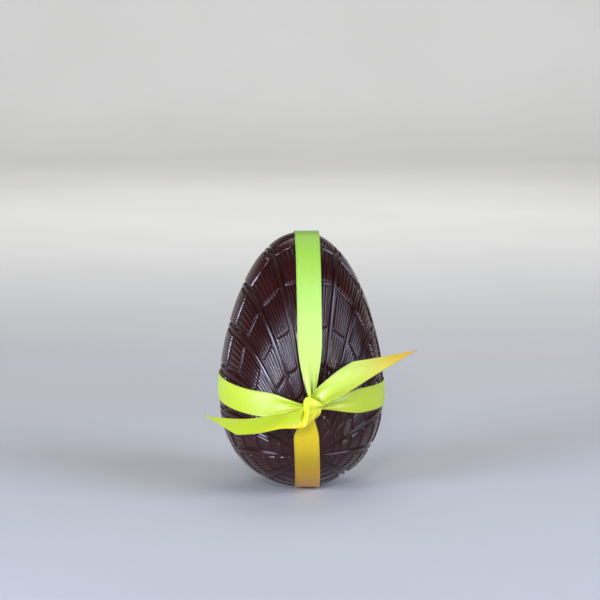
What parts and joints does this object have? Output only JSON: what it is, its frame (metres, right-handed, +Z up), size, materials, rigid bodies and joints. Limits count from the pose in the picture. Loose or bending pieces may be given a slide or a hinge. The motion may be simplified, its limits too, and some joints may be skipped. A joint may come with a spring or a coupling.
{
  "type": "chocolate egg",
  "caption": "Dark chocolate egg with an embossed relief of ribs and scales, standing on its blunt end and tied with a satin ribbon.",
  "frame": {"origin": "on the floor below the egg's axis, on the flat underside of the ribbon that the egg stands on", "axes": "+Z up along the egg's axis, -Y towards the knot, +X to the right of the egg seen from the knot's side"},
  "size_m": [0.1187, 0.1138, 0.1506],
  "materials": {
    "dark_chocolate": "moulded dark chocolate with a satin gloss",
    "lime_satin": "satin weave in lime green with a yellow sheen"
  },
  "bodies": {
    "root": {"chocolate_egg": "dark_chocolate", "satin_ribbon": "lime_satin"}
  },
  "joints": []
}
